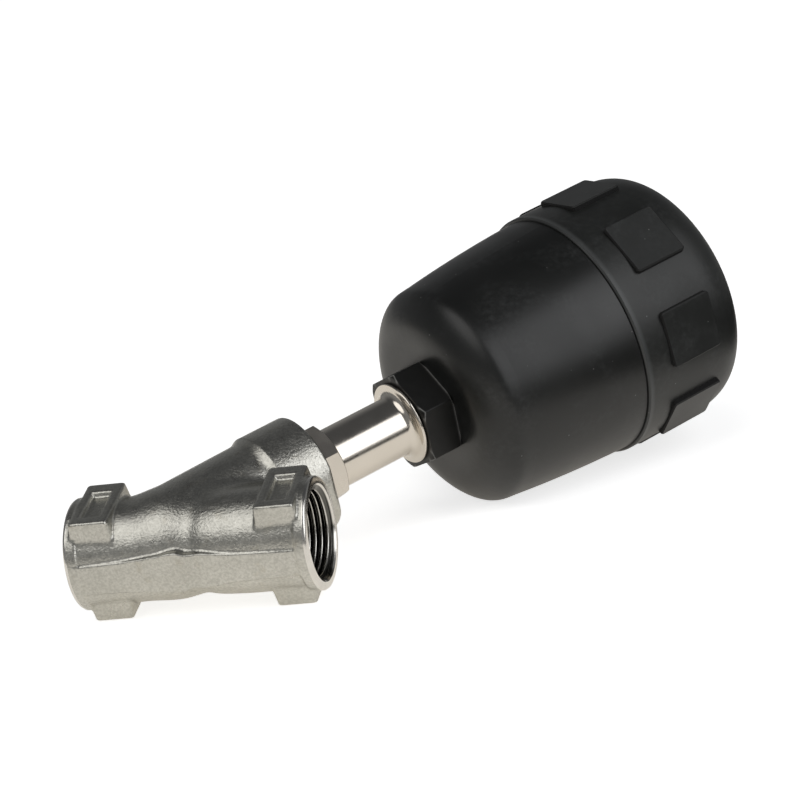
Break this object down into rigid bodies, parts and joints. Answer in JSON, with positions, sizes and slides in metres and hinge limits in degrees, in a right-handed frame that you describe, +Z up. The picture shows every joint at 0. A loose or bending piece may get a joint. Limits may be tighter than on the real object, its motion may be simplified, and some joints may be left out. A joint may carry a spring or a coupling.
{
  "type": "angle seat valve",
  "caption": "Angle seat valve with threaded ends, a slanted bonnet and a round spring-closed pneumatic piston actuator that lifts the disc off its seat.",
  "frame": {"origin": "centre of the inlet port's end face, on the flow axis", "axes": "+X along the flow axis from the inlet port to the outlet port; +Z up, square to the bench that the valve lies on; the stem leans from +X towards +Y and a little up"},
  "size_m": [0.2276, 0.2135, 0.107],
  "materials": {
    "cast_stainless": "bead-blasted investment casting, satin grain",
    "turned_stainless": "turned and polished stainless steel",
    "spring_steel": "drawn spring wire",
    "black_plastic": "glass-filled black moulding, satin with soft gloss",
    "black_anodised": "black coated, machined facets",
    "seal_rubber": "moulded elastomer",
    "ptfe": "machined white polymer",
    "bronze": "plain bearing bronze",
    "graphite": "flat gasket sheet",
    "piston_alloy": "machined light alloy",
    "nickel_brass": "nickel-plated brass",
    "sintered_bronze": "porous sintered metal",
    "indicator_yellow": "bright moulded plastic",
    "clear_plastic": "clear moulded plastic"
  },
  "bodies": {
    "valve": {"valve_body": "cast_stainless", "body_gasket": "graphite", "nipple": "turned_stainless", "lower_guide_bush": "bronze", "packing_support_ring": "turned_stainless", "packing_v_rings": "ptfe", "packing_pressure_ring": "turned_stainless", "packing_spring": "spring_steel", "packing_washer": "turned_stainless", "upper_guide_bush": "ptfe", "swivel_wire_ring": "spring_steel"},
    "actuator": {"foot_bush": "black_anodised", "foot_o_ring": "seal_rubber", "housing_o_ring": "seal_rubber", "rod_seal": "seal_rubber", "lock_nut": "turned_stainless", "housing": "black_plastic", "cover": "black_plastic", "cover_o_ring": "seal_rubber", "pilot_insert": "nickel_brass", "vent_insert": "nickel_brass", "vent_filter": "sintered_bronze", "outer_spring": "spring_steel", "inner_spring": "spring_steel", "indicator_cap": "clear_plastic", "cap_o_ring": "seal_rubber", "indicator_seal": "seal_rubber"},
    "stem": {"spindle": "turned_stainless", "piston": "piston_alloy", "piston_seal": "seal_rubber", "piston_guide_ring": "ptfe", "piston_washer": "turned_stainless", "piston_nut": "turned_stainless", "indicator": "indicator_yellow"},
    "disc": {"disc": "turned_stainless", "disc_seal": "ptfe", "seal_retainer": "turned_stainless", "disc_clip": "spring_steel"}
  },
  "joints": [
    {"name": "actuator_turn", "type": "hinge", "parent": "valve", "child": "actuator", "pos_m": [0.10903, 0.07592, 0.01693], "axis": [0.7071, 0.6902, 0.1539], "continuous": true},
    {"name": "stem_lift", "type": "slide", "parent": "valve", "child": "stem", "axis": [0.7071, 0.6902, 0.1539], "range_m": [0, 0.012], "stiffness_N_per_m": 6400, "springref_m": -0.06, "deforming": ["outer_spring", "inner_spring"]},
    {"name": "disc_swivel", "type": "hinge", "parent": "stem", "child": "disc", "pos_m": [0.04539, 0.0138, 0.00308], "axis": [0.7071, 0.6902, 0.1539], "continuous": true}
  ]
}
